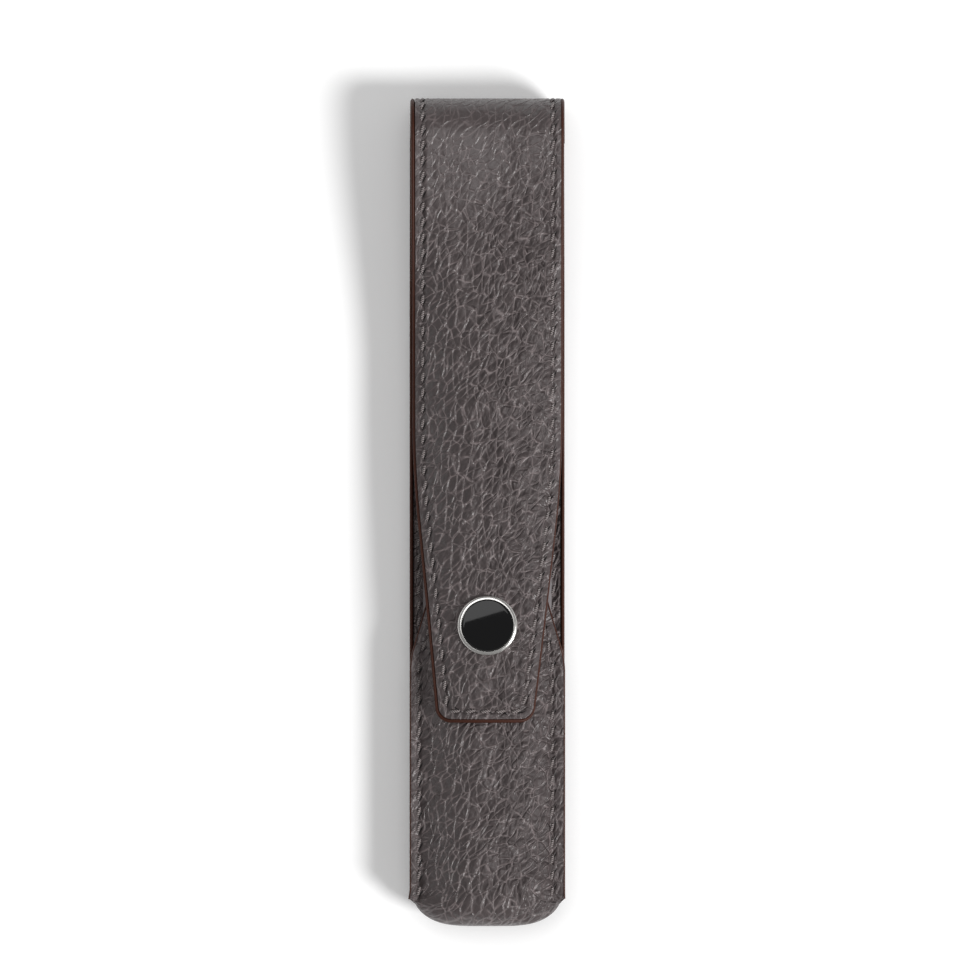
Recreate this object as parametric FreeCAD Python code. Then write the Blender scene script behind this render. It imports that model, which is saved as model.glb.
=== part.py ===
"""Single pen sleeve: one long leather strip folded into front, nose, back, fold and flap, round a pen pocket.

Millimetres. X is the width, +Y points to the fold, +Z points up with the sleeve lying on its back.
The origin is on the resting surface, under the middle of the sleeve.
"""

import FreeCAD
import Part
import math
import os
from FreeCAD import Vector

# Driving dimensions: the whole sleeve
overall_length = 165.0
strip_width = 30.6
seam_inset = 2.4

# Sheets and the glue line between them
leather_thickness = 1.1
lining_thickness = 0.4
pocket_panel_thickness = 1.0
glue_gap = 0.05
flap_gap = 0.4

# Crowns: the front's and the back's rise at the seams, and the flap's fall at its sides
front_rise = 4.5
back_rise = 5.35
back_flat_width = 6.0
flap_fall = 5.4

# Nose, where the strip turns up from the back to the front
nose_depth = 5.8
nose_corner_drop = 3.6
nose_outline_power = 2.6
nose_station_shares = (-1.0, -0.93, -0.8, -0.6, -0.4, 0.0, 0.4, 0.6, 0.8, 0.93, 1.0)
nose_strips = 12
ear_length = 5.0

# Front panel's tongue, under the flap
tongue_length = 72.5
tongue_top_width = 18.2
tongue_flare_length = 16.6
tongue_corner_radius = 3.0
tongue_side_radius = 18.7

# Pen pocket
mouth_from_crest = 36.5
thumb_notch_radius = 14.0
thumb_notch_depth = 5.0
back_ease_length = 28.7

# Flap
front_show_length = 40.3
flap_taper_length = 54.4
flap_tip_width = 19.1
flap_corner_radius = 3.0
flap_taper_radius = 194.0
flap_ease_length = 52.0
ease_strips = 12

# Board in the back
board_thickness = 0.4
board_width = 21.0
board_from_nose = 14.0
board_from_ease = 6.3

# Magnet closure
magnet_diameter = 6.0
magnet_thickness = 0.7
magnet_from_tip = 7.6

# Emblem
emblem_from_tip = 19.4
emblem_diameter = 11.9
bezel_width = 0.75
bezel_height = 0.75
bezel_floor = 0.2
bezel_chamfer = 0.15
inlay_thickness = 0.4
inlay_clearance = 0.03
post_diameter = 2.0
washer_diameter = 5.2
washer_thickness = 0.3

# Sewing
stitch_pitch = 3.1
stitch_length = 2.3
stitch_width = 0.5
stitch_height = 0.15
stitch_slant_deg = 9.0
stitch_inset = 1.9
seam_stitch_inset = 1.7
surface_step = 0.05

cut_overrun = 2.0
straight_tolerance = 0.000001

# Places that follow from the sizes above
half_width = strip_width / 2
seam_half = half_width - seam_inset
flat_half = back_flat_width / 2
crest_y = overall_length / 2
nose_y = -overall_length / 2
body_start_y = nose_y + nose_depth
corner_y = nose_y + nose_corner_drop
ear_y = nose_y + ear_length
tongue_top_y = nose_y + tongue_length
tongue_flare_y = tongue_top_y - tongue_flare_length
tongue_flare_slope = (strip_width - tongue_top_width) / 2 / tongue_flare_length
mouth_y = crest_y - mouth_from_crest
tip_y = nose_y + front_show_length
taper_y = tip_y + flap_taper_length
magnet_y = tip_y + magnet_from_tip
emblem_y = tip_y + emblem_from_tip

# Heights at the side seams, from the back leather up
lining_seam = back_rise + leather_thickness + glue_gap
pocket_seam = lining_seam + lining_thickness + glue_gap
front_lining_seam = pocket_seam + pocket_panel_thickness + glue_gap
front_seam = front_lining_seam + lining_thickness + glue_gap
nose_axis_z = (back_rise + front_seam + leather_thickness) / 2

# Heights on the middle line, and the fold that joins the back to the flap
flap_lining_z = front_seam + leather_thickness + front_rise + flap_gap
flap_leather_z = flap_lining_z + lining_thickness + glue_gap
flap_top_z = flap_leather_z + leather_thickness
fold_radius = flap_top_z / 2
fold_y = crest_y - fold_radius
back_ease_y = fold_y - back_ease_length
flap_ease_y = fold_y - flap_ease_length
board_start_y = nose_y + board_from_nose
board_end_y = back_ease_y - board_from_ease

# Places across a sheet where its section changes from one line or arc to the next
body_breaks = (-half_width, -seam_half, -flat_half, flat_half, seam_half, half_width)
nose_breaks = (-seam_half, -flat_half, flat_half, seam_half)
flap_breaks = (-half_width, half_width)


def dip(distance, reach, depth):
    """How far an arc has left its tangent at this distance, when it has left it by depth at reach."""
    if depth == 0:
        return 0.0
    radius = (reach ** 2 + depth ** 2) / (2 * depth)
    return radius - math.sqrt(radius ** 2 - distance ** 2)


def front_height(x):
    """Height of the crowned front at x above its seams."""
    return front_rise - dip(min(abs(x), seam_half), seam_half, front_rise)


def back_height(x, share=1.0):
    """Height of the hollow back at x above its flat, when it has this share of its rise."""
    reach = seam_half - flat_half
    return dip(min(max(abs(x) - flat_half, 0.0), reach), reach, back_rise * share)


def flap_drop(x, share=1.0):
    """How far the crowned flap has fallen at x, when it has this share of its fall."""
    return dip(abs(x), half_width, flap_fall * share)


def ease(y, start_y, end_y):
    """1 up to start_y, falling smoothly to 0 at end_y."""
    t = min(1.0, max(0.0, (y - start_y) / (end_y - start_y)))
    return 1.0 - t * t * (3.0 - 2.0 * t)


def flap_top(x, y):
    return flap_top_z - flap_drop(x, ease(y, flap_ease_y, fold_y))


def front_top(x, y):
    return front_seam + leather_thickness + front_height(x)


def block(x_min, x_max, y_min, y_max, z_min, z_max):
    return Part.makeBox(x_max - x_min, y_max - y_min, z_max - z_min, Vector(x_min, y_min, z_min))


def drum(radius, y, z_min, z_max):
    """An upright cylinder on the middle line."""
    return Part.makeCylinder(radius, z_max - z_min, Vector(0, y, z_min))


def line_or_arc(y, height, start_x, end_x):
    """The edge at y under the given heights, which between these two places is a line or an arc."""
    middle_x = (start_x + end_x) / 2
    start, middle, end = [Vector(x, y, height(x)) for x in (start_x, middle_x, end_x)]
    if middle.distanceToLine(start, end - start) < straight_tolerance:
        return Part.LineSegment(start, end).toShape()
    return Part.Arc(start, middle, end).toShape()


def section(y, height, thickness, breaks):
    """Closed section at y of a sheet whose underside is at height(x)."""
    def top(x):
        return height(x) + thickness

    first, last = (breaks[0], breaks[-1])
    edges = [line_or_arc(y, height, a, b) for a, b in zip(breaks, breaks[1:])]
    edges.append(Part.LineSegment(Vector(last, y, height(last)), Vector(last, y, top(last))).toShape())
    edges += [line_or_arc(y, top, a, b) for a, b in zip(breaks[::-1], breaks[-2::-1])]
    edges.append(Part.LineSegment(Vector(first, y, top(first)), Vector(first, y, height(first))).toShape())
    return Part.Wire(edges)


def straight_sheet(height, thickness, breaks, y_min, y_max):
    """A sheet of the same section from y_min to y_max."""
    return Part.Face(section(y_min, height, thickness, breaks)).extrude(Vector(0, y_max - y_min, 0))


def easing_sheet(height, thickness, breaks, start_y, end_y):
    """A sheet under height(x, share) that loses its crown between start_y and end_y."""
    wires = []
    for k in range(ease_strips + 1):
        y = start_y + (end_y - start_y) * k / ease_strips
        share = ease(y, start_y, end_y)
        wires.append(section(y, lambda x: height(x, share), thickness, breaks))
    return Part.makeLoft(wires, True, True)


def back_sheet(bottom, thickness):
    """A sheet that runs up the hollow back and eases down flat to the fold."""
    def height(x, share=1.0):
        return bottom + back_height(x, share)

    run = straight_sheet(height, thickness, body_breaks, body_start_y, back_ease_y)
    return run.fuse(easing_sheet(height, thickness, body_breaks, back_ease_y, fold_y))


def front_sheet(bottom, thickness, y_max):
    """A crowned sheet with flat fins, from the nose up to y_max."""
    def height(x):
        return bottom + front_height(x)

    return straight_sheet(height, thickness, body_breaks, body_start_y, y_max)


def rounded_path(points, radii):
    """Edges along the points in plan, with a tangent arc of the given radius at each inner point."""
    corners = [Vector(px, py, 0) for px, py in points]
    edges = []
    start = corners[0]
    for before, corner, after, radius in zip(corners, corners[1:], corners[2:], radii):
        to_before = (before - corner).normalize()
        to_after = (after - corner).normalize()
        half_angle = to_before.getAngle(to_after) / 2
        reach = radius / math.tan(half_angle)
        arc_start = corner + to_before * reach
        arc_end = corner + to_after * reach
        inward = (to_before + to_after).normalize()
        centre = corner + inward * (radius / math.sin(half_angle))
        edges.append(Part.LineSegment(start, arc_start).toShape())
        edges.append(Part.Arc(arc_start, centre - inward * radius, arc_end).toShape())
        start = arc_end
    edges.append(Part.LineSegment(start, corners[-1]).toShape())
    return edges


def plan_prism(points, radii, z_min, z_max):
    """A prism over the plan outline through the points, closed by a straight last side."""
    edges = rounded_path(points, radii)
    first, last = (Vector(*points[0], 0), Vector(*points[-1], 0))
    edges.append(Part.LineSegment(last, first).toShape())
    face = Part.Face(Part.Wire(edges))
    face.translate(Vector(0, 0, z_min))
    return face.extrude(Vector(0, 0, z_max - z_min))


def mirrored_outline(right_points):
    """Plan points down the left side and up the right, from the right side's points, top first."""
    return [(-px, py) for px, py in right_points] + right_points[::-1]


def tongue_outline(inset=0.0):
    """Right side of the front panel's outline, from its hidden top down to the side."""
    return [
        (tongue_top_width / 2 - inset, tongue_top_y - inset),
        (half_width - inset, tongue_flare_y),
        (half_width - inset, body_start_y),
    ]


def flap_outline(inset=0.0):
    """Right side of the flap's outline, from the tip up to the fold."""
    return [
        (flap_tip_width / 2 - inset, tip_y + inset),
        (half_width - inset, taper_y),
        (half_width - inset, fold_y),
    ]


def above_tongue():
    """Everything over the pocket that lies outside the tongue's outline."""
    outline = mirrored_outline(tongue_outline()[::-1])
    radii = (tongue_side_radius, tongue_corner_radius, tongue_corner_radius, tongue_side_radius)
    keep = plan_prism(outline, radii, pocket_seam, flap_top_z)
    reach = half_width + cut_overrun
    room = block(-reach, reach, body_start_y, tongue_top_y + cut_overrun, pocket_seam, flap_top_z)
    return room.cut(keep)


def nose_tip(x):
    """Y of the nose's rounded outline at x."""
    share = min(1.0, abs(x / seam_half)) ** nose_outline_power
    return nose_y + nose_corner_drop * (1.0 - (1.0 - share) ** (1.0 / nose_outline_power))


def nose_point(x, angle, inset):
    """A point of the nose, at this angle from straight up about an axis across the start of the body."""
    along = body_start_y - nose_tip(x) - inset
    if math.cos(angle) > 0:
        upright = front_top(x, body_start_y) - nose_axis_z - inset
    else:
        upright = nose_axis_z - back_height(x) - inset
    radius = along * upright / math.hypot(along * math.cos(angle), upright * math.sin(angle))
    return Vector(x, body_start_y - radius * math.sin(angle), nose_axis_z + radius * math.cos(angle))


def nose_edges(angle, inset):
    """The nose's line across at this angle, in one edge for each stretch between the breaks."""
    stations = sorted([share * seam_half for share in nose_station_shares] + [-flat_half, flat_half])
    curve = Part.BSplineCurve()
    curve.interpolate(Points=[nose_point(x, angle, inset) for x in stations], Parameters=stations)
    return [curve.toShape(a, b) for a, b in zip(nose_breaks, nose_breaks[1:])]


def nose_section(angle):
    """Closed section of the leather at this angle round the nose."""
    outer = nose_edges(angle, 0)
    inner = nose_edges(angle, leather_thickness)
    sides = []
    for x in (-seam_half, seam_half):
        ends = [nose_point(x, angle, inset) for inset in (0, leather_thickness)]
        sides.append(Part.LineSegment(*ends).toShape())
    return Part.Wire(Part.__sortEdges__(outer + [sides[1]] + inner[::-1] + [sides[0]]))


def make_nose():
    """The leather's half turn, from the front's end section round to the back's."""
    front = section(body_start_y, lambda x: front_seam + front_height(x), leather_thickness, nose_breaks)
    back = section(body_start_y, back_height, leather_thickness, nose_breaks)
    turn = [nose_section(math.pi * k / nose_strips) for k in range(1, nose_strips)]
    return Part.makeLoft([front] + turn + [back], True, True)


def make_ears():
    """The fins' ends beside the nose, each with its outer corner cut off on a slant."""
    ears = []
    for side in (-1, 1):
        corners = [(seam_half, corner_y), (half_width, ear_y), (half_width, body_start_y), (seam_half, body_start_y)]
        for z in (0, front_seam - back_rise):
            points = [Vector(side * px, py, back_rise + z) for px, py in corners]
            face = Part.Face(Part.makePolygon(points + points[:1]))
            ears.append(face.extrude(Vector(0, 0, leather_thickness)))
    return ears


def board_sheet(bottom, top, clearance):
    """The board's own form, or the recess for it, between two depths in the back leather."""
    half = board_width / 2 - clearance
    breaks = (-half, -flat_half, flat_half, half)
    start, end = (board_start_y + clearance, board_end_y - clearance)
    return straight_sheet(lambda x: back_height(x) + bottom, top - bottom, breaks, start, end)


def make_outer_wrap():
    front = front_sheet(front_seam, leather_thickness, tongue_top_y).cut(above_tongue())
    back = back_sheet(0, leather_thickness)
    wrap = front.fuse([make_nose(), back] + make_ears()).removeSplitter()
    recess_floor = leather_thickness - board_thickness
    wrap = wrap.cut(board_sheet(recess_floor, leather_thickness + glue_gap, 0))
    seat = front_seam + front_rise
    return wrap.cut(drum(magnet_diameter / 2, magnet_y, seat - cut_overrun, seat + magnet_thickness))


def make_pocket_panel():
    panel = front_sheet(pocket_seam, pocket_panel_thickness, mouth_y)
    notch_y = mouth_y + thumb_notch_radius - thumb_notch_depth
    return panel.cut(drum(thumb_notch_radius, notch_y, pocket_seam - cut_overrun, flap_top_z))


def flap_sheet(bottom_z, thickness):
    """A crowned sheet of the flap's outline that flattens towards the fold."""
    def height(x, share=1.0):
        return bottom_z - flap_drop(x, share)

    radii = (flap_taper_radius, flap_corner_radius, flap_corner_radius, flap_taper_radius)
    outline = plan_prism(mirrored_outline(flap_outline()[::-1]), radii, 0, flap_top_z + cut_overrun)
    run = straight_sheet(height, thickness, flap_breaks, tip_y, flap_ease_y).common(outline)
    return run.fuse(easing_sheet(height, thickness, flap_breaks, flap_ease_y, fold_y))


def bezel_ring(z_min, z_max):
    """The bezel's round wall between two heights."""
    radius = emblem_diameter / 2
    return drum(radius, emblem_y, z_min, z_max).cut(drum(radius - bezel_width, emblem_y, z_min, z_max))


bezel_seat_z = flap_top_z - flap_drop(emblem_diameter / 2)


def make_flap_leather():
    flap = flap_sheet(flap_leather_z, leather_thickness)
    flap = flap.cut(bezel_ring(bezel_seat_z, flap_top_z + bezel_height))
    flap = flap.cut(drum(post_diameter / 2, emblem_y, flap_lining_z, flap_top_z + bezel_height))
    below = flap_leather_z - cut_overrun
    flap = flap.cut(drum(washer_diameter / 2, emblem_y, below, flap_leather_z + washer_thickness))
    return flap.cut(drum(magnet_diameter / 2, magnet_y, below, flap_leather_z + magnet_thickness))


def make_emblem_bezel():
    floor_z = flap_top_z + bezel_floor
    ring = bezel_ring(bezel_seat_z, flap_top_z + bezel_height)
    top_edges = [e for e in ring.Edges if e.BoundBox.ZMin > floor_z]
    ring = ring.makeChamfer(bezel_chamfer, top_edges)
    floor = drum(emblem_diameter / 2 - bezel_width, emblem_y, flap_top_z, floor_z)
    post = drum(post_diameter / 2, emblem_y, flap_leather_z, flap_top_z)
    return ring.fuse(floor).fuse(post)


def make_emblem_inlay():
    radius = emblem_diameter / 2 - bezel_width - inlay_clearance
    low = flap_top_z + bezel_floor
    return drum(radius, emblem_y, low, low + inlay_thickness)


def make_emblem_washer():
    z = flap_leather_z
    washer = drum(washer_diameter / 2, emblem_y, z, z + washer_thickness)
    return washer.cut(drum(post_diameter / 2, emblem_y, z, z + washer_thickness))


def half_ring(outer, thickness):
    """The half round that carries the strip from the back over to the flap."""
    across = Vector(1, 0, 0)
    start = Vector(-half_width, fold_y, fold_radius)
    tube = Part.makeCylinder(outer, strip_width, start, across)
    tube = tube.cut(Part.makeCylinder(outer - thickness, strip_width, start, across))
    return tube.common(block(-half_width, half_width, fold_y, crest_y, 0, flap_top_z))


def stitch(surface, x, y, heading, upward):
    """One stitch lying on the surface at (x, y), turned by heading in plan."""
    step = surface_step
    along_x = Vector(step, 0, surface(x + step, y) - surface(x, y))
    along_y = Vector(0, step, surface(x, y + step) - surface(x, y))
    normal = along_x.cross(along_y).normalize()
    forward = (along_x * math.cos(heading) + along_y * math.sin(heading)).normalize()
    across = normal.cross(forward)
    low = Vector(x, y, surface(x, y)) + normal * (upward * glue_gap)
    ends = [(-1, -1), (1, -1), (1, 1), (-1, 1)]
    corners = [low + forward * (a * stitch_length / 2) + across * (b * stitch_width / 2) for a, b in ends]
    face = Part.Face(Part.makePolygon(corners + corners[:1]))
    return face.extrude(normal * (upward * stitch_height))


def stitch_row(surface, path, upward=1):
    """Slanted stitches at an even pitch along the edges of a plan path."""
    wire = Part.Wire(path)
    count = max(1, round(wire.Length / stitch_pitch))
    points = wire.discretize(Number=2 * count + 1)
    row = []
    for before, middle, after in zip(points[0::2], points[1::2], points[2::2]):
        heading = math.atan2(after.y - before.y, after.x - before.x) + math.radians(stitch_slant_deg)
        row.append(stitch(surface, middle.x, middle.y, heading, upward))
    return row


def straight_path(x, y_min, y_max):
    return [Part.LineSegment(Vector(x, y_min, 0), Vector(x, y_max, 0)).toShape()]


def make_seam_thread(side):
    """Stitches through one side seam: on the front panel, on the pocket's fin above it, and on the back."""
    def front_fin(x, y):
        return front_seam + leather_thickness

    def pocket_fin(x, y):
        return pocket_seam + pocket_panel_thickness

    def back_fin(x, y):
        return back_rise * ease(y, back_ease_y, fold_y)

    x = side * (half_width - seam_stitch_inset)
    tongue_edge_y = tongue_flare_y + seam_stitch_inset / tongue_flare_slope
    row = stitch_row(front_fin, straight_path(x, ear_y, tongue_flare_y))
    row += stitch_row(pocket_fin, straight_path(x, tongue_edge_y + stitch_inset, mouth_y))
    row += stitch_row(back_fin, straight_path(x, ear_y, fold_y - 2 * stitch_pitch), -1)
    return Part.makeCompound(row)


def make_tongue_thread():
    """Stitches inside the tongue's edge, from one side seam over the hidden top to the other."""
    top_x, top_y = tongue_outline(stitch_inset)[0]
    low_x = seam_half - stitch_width
    low_y = top_y - (low_x - top_x) / tongue_flare_slope
    points = mirrored_outline([(low_x, low_y), (top_x, top_y)])
    return Part.makeCompound(stitch_row(front_top, rounded_path(points, (tongue_corner_radius,) * 2)))


def make_flap_thread():
    points = mirrored_outline(flap_outline(stitch_inset)[::-1])
    radii = (flap_taper_radius, flap_corner_radius, flap_corner_radius, flap_taper_radius)
    return Part.makeCompound(stitch_row(flap_top, rounded_path(points, radii)))


def make_fold_thread():
    """Stitches round the fold, clear of the surface that the sleeve lies on."""
    count = round(math.pi * fold_radius / stitch_pitch)
    row = []
    for side in (-1, 1):
        x = side * (half_width - stitch_inset)
        for k in range(1, count):
            bar = Part.makeBox(stitch_width, stitch_length, stitch_height,
                               Vector(-stitch_width / 2, -stitch_length / 2, glue_gap))
            bar.rotate(Vector(0, 0, 0), Vector(0, 0, 1), stitch_slant_deg)
            bar.translate(Vector(x, 0, fold_radius))
            bar.rotate(Vector(0, 0, 0), Vector(1, 0, 0), -180.0 * (k + 0.5) / (count + 1))
            bar.translate(Vector(0, fold_y, fold_radius))
            row.append(bar)
    return Part.makeCompound(row)


nodes = {
    "outer_wrap": make_outer_wrap(),
    "back_board": board_sheet(leather_thickness - board_thickness + glue_gap, leather_thickness, glue_gap),
    "back_lining": back_sheet(leather_thickness + glue_gap, lining_thickness),
    "pocket_panel": make_pocket_panel(),
    "front_lining": front_sheet(front_lining_seam, lining_thickness, tongue_top_y).cut(above_tongue()),
    "keeper_magnet": drum(magnet_diameter / 2, magnet_y, front_seam + front_rise,
                          front_seam + front_rise + magnet_thickness),
    "fold_leather": half_ring(fold_radius, leather_thickness),
    "fold_lining": half_ring(fold_radius - leather_thickness - glue_gap, lining_thickness),
    "flap_leather": make_flap_leather(),
    "flap_lining": flap_sheet(flap_lining_z, lining_thickness),
    "flap_magnet": drum(magnet_diameter / 2, magnet_y, flap_leather_z, flap_leather_z + magnet_thickness),
    "emblem_bezel": make_emblem_bezel(),
    "emblem_inlay": make_emblem_inlay(),
    "emblem_washer": make_emblem_washer(),
    "left_seam_thread": make_seam_thread(-1),
    "right_seam_thread": make_seam_thread(1),
    "tongue_thread": make_tongue_thread(),
    "flap_thread": make_flap_thread(),
    "fold_thread": make_fold_thread(),
}

os.makedirs("parts", exist_ok=True)
for name, shape in nodes.items():
    shape.exportStep("parts/" + name + ".step")
    print(name, len(shape.Solids), "solids", round(shape.Volume, 2), "mm3, valid", shape.isValid())
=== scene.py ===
# %% [markdown]
# # A grain leather sleeve for one pen
# The real sleeve is one long strip of soft leather. It starts as the front panel, turns under at the
# nose, runs up the back, folds over at the top and comes down again as a tapered flap with a round
# emblem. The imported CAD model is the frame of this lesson: every piece made here takes its place from
# it, in the same coordinates and in metres.

# %% Load the frame
import math
import bpy
import numpy as np
from mathutils import Matrix, Vector, kdtree


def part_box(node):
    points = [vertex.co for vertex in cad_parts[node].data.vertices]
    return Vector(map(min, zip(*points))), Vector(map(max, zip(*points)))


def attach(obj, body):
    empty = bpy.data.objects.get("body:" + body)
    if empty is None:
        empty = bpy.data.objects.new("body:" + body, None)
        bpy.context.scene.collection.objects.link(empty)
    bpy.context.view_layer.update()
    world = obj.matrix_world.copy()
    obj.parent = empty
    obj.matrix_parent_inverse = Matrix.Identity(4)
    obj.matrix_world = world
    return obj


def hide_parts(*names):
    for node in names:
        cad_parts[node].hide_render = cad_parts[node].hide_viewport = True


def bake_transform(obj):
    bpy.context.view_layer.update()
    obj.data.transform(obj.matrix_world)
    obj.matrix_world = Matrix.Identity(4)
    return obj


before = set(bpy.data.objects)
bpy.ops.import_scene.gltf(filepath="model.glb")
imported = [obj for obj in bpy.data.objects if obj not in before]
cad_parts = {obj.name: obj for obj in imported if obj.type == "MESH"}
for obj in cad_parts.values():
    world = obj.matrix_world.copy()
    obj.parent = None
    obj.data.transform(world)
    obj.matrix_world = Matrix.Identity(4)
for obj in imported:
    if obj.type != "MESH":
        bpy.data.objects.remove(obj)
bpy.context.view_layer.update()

print("nodes in the frame:", len(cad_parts))

# %% [markdown]
# ## Sizes
# A leather worker thinks in millimetres, so the shapes below are worked out in millimetres and scaled
# to metres when a mesh gets its points. What a CAD node's box can tell is read from there. The
# thickness of the sheets and the rise of their crowns repeat the values that the CAD model was drawn
# with, so the soft pieces nest in each other as its solids do. The places of the nose's corners, the
# ears, the flare, the taper and the tip are measured in the photograph, to about a quarter of a
# millimetre.

# %% Sizes from the frame
MM = 0.001

def low(node):
    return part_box(node)[0] / MM

def high(node):
    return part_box(node)[1] / MM

half_width = high("outer_wrap").x
nose_y = low("outer_wrap").y
body_start_y = low("pocket_panel").y
mouth_y = high("pocket_panel").y
tongue_top_y = high("front_lining").y
crest_y = high("fold_leather").y
flap_top_z = high("fold_leather").z
tip_y = low("flap_leather").y
fold_radius = flap_top_z / 2
fold_y = crest_y - fold_radius
print("sleeve %.1f x %.1f mm, %.1f mm high" % (crest_y - nose_y, 2 * half_width, flap_top_z))

# %% Sizes of the sheets
leather, lining, panel, glue = 1.1, 0.4, 1.0, 0.05
pared = leather - 0.3
seam_half, flat_half = 12.9, 3.0
front_rise, back_rise, flap_fall = 4.5, 5.35, 5.4
pocket_seam = low("pocket_panel").z
front_seam = pocket_seam + panel + lining + 2 * glue
nose_axis_z = (back_rise + front_seam + leather) / 2
back_ease_y, flap_ease_y = fold_y - 28.7, fold_y - 52.0
print("layers at the seams: %.2f mm" % (front_seam + leather - back_rise))

# %% Sizes from the photograph
corner_y, ear_y = nose_y + 3.9, nose_y + 4.9
flare_y, taper_y = tongue_top_y - 19.7, tip_y + 50.0
tip_half, tongue_half = 9.95, 9.5
corner_radius, taper_radius, flare_radius = 3.0, 194.0, 18.7
print("flap tip %.1f mm wide, taper %.1f mm long" % (2 * tip_half, taper_y - tip_y))

# %% [markdown]
# ## Camera
# The photograph looks straight down from far away, so there is almost no perspective. A long lens 2 m
# above the sleeve does the same. The picture is 960 pixels wide and shows 192 mm, which is 5 pixels for
# each millimetre.

# %% Camera
picture_width, camera_height = 0.192, 2.0
picture_middle = Vector((-1.48, 6.2, 8.0)) * MM
camera = bpy.data.objects.new("camera", bpy.data.cameras.new("camera"))
bpy.context.scene.collection.objects.link(camera)
camera.data.sensor_width = 36.0
camera.data.lens = 36.0 * camera_height / picture_width
camera.data.clip_end = 10.0
camera.location = picture_middle + Vector((0.0, 0.0, camera_height))
bpy.context.scene.camera = camera
print("camera %.1f m above the sleeve" % camera_height)

# %% [markdown]
# ## Curves of the strip
# Leather that is wetted and pressed over a form keeps a crown. Here the front is an arc between the two
# seams, the back is a flat with an arc on each side, and the flap is a wider arc that flattens out
# before the fold. These functions give the outer face of each sheet, and everything else, from lining
# to stitch, is measured from them.

# %% Curves of the strip

def dip(distance, reach, depth):
    """How far an arc has left its tangent at this distance, when it has left it by depth at reach."""
    depth = np.maximum(depth, 1e-9)
    radius = (reach ** 2 + depth ** 2) / (2 * depth)
    return radius - np.sqrt(radius ** 2 - distance ** 2)

def ease(y, start, end):
    """1 up to start, falling smoothly to 0 at end."""
    t = np.clip((y - start) / (end - start), 0.0, 1.0)
    return 1.0 - t * t * (3.0 - 2.0 * t)

def front_height(x):
    """Crown of the front above its seams, with the crease at each seam pressed soft."""
    soft = [np.minimum(np.abs(x + shift), seam_half) for shift in (-0.9, -0.45, 0.0, 0.45, 0.9)]
    return front_rise - sum(dip(reach, seam_half, front_rise) for reach in soft) / len(soft)

def back_height(x, y):
    reach = seam_half - flat_half
    past_flat = np.clip(np.abs(x) - flat_half, 0.0, reach)
    return dip(past_flat, reach, back_rise * ease(y, back_ease_y, fold_y))

def front_top(x, y):
    return front_seam + leather + front_height(x)

def pocket_top(x, y):
    return pocket_seam + panel + front_height(x)

def flap_top(x, y):
    return flap_top_z - dip(np.abs(x), half_width, flap_fall * ease(y, flap_ease_y, fold_y))

print("front crown %.2f mm, flap edge %.2f mm" % (front_top(0.0, 0.0), flap_top(half_width, tip_y)))

# %% [markdown]
# ## Outlines
# A leather worker cuts the outlines with a knife along a template whose corners are rounded. Here an
# outline is a list of corner points with a radius each. The same function, given an inset, draws the
# line that the stitches follow, or the line where the leather ends under its painted edge. The real
# flap came over a little askew, so its middle strays to the left towards the tip.

# %% Outlines

def rounded(points, radii=(), step=0.15):
    """Points every step mm along a line through the corners, each inner corner rounded by its radius."""
    corners = [Vector(p) for p in points]
    path = [corners[0]]
    for before, corner, after, radius in zip(corners, corners[1:], corners[2:], radii):
        to_before, to_after = (before - corner).normalized(), (after - corner).normalized()
        half_angle = to_before.angle(to_after) / 2
        inward = (to_before + to_after).normalized()
        centre = corner + inward * (radius / math.sin(half_angle))
        sweep = math.pi - 2 * half_angle
        count = max(2, int(radius * sweep / step))
        start = corner + to_before * (radius / math.tan(half_angle)) - centre
        turn = 1 if to_before.cross(to_after) < 0 else -1
        for k in range(count + 1):
            path.append(centre + Matrix.Rotation(turn * sweep * k / count, 2) @ start)
    path.append(corners[-1])
    dense = []
    for a, b in zip(path, path[1:]):
        parts = max(1, round((b - a).length / step))
        dense += [a.lerp(b, k / parts) for k in range(parts)]
    return np.array([tuple(p) for p in dense + [path[-1]]])

def both_sides(right, side_radius, inset):
    """A symmetric line through the right side's corner points and their mirror images, rounded."""
    left = [(-x, y) for x, y in right[::-1]]
    corner = corner_radius - 0.5 * inset
    return rounded(left + right, (side_radius, corner, corner, side_radius))

def flap_outline(inset, end_y=fold_y):
    """From the left end of the fold down to the tip and up to the right end."""
    side, tip = half_width - inset, tip_half - inset
    return both_sides([(tip, tip_y + inset), (side, taper_y), (side, end_y)], taper_radius, inset)

def tongue_outline(inset):
    """From the left end of the nose up over the hidden tongue and down to the right end."""
    side, top = half_width - inset, tongue_half - inset
    return both_sides([(top, tongue_top_y - inset), (side, flare_y), (side, ear_y)], flare_radius, inset)

def askew(y):
    """How far the flap's middle has strayed sideways at y: half a millimetre to the left at the tip."""
    share = np.clip((taper_y - y) / (taper_y - tip_y), 0.0, 1.0)
    return -0.5 * share ** 2

def half_at(outline, y):
    """Half of the width of a symmetric outline at y."""
    right = outline[outline[:, 0] >= 0]
    order = np.argsort(right[:, 1], kind="stable")
    return np.interp(y, right[order, 1], right[order, 0])

print("flap outline %d points, tongue %d" % (len(flap_outline(0.0)), len(tongue_outline(0.0))))

# %% [markdown]
# ## Sewn rows pull the leather down
# A stitch draws its row into a groove and pushes the leather up beside it. A bump map alone would leave
# the stitches standing on a flat sheet, so the groove is in the mesh. Each sheet asks how far its
# points are along the nearest sewn row, counted in stitches, and how far out from it. The answer is
# also kept on the points, so that the leather's material can cut the awl's slanted slits, which are
# finer than the mesh. Outside the rows a heated creaser has pressed the grain flatter. The outer side
# is on the right of each row.

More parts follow.
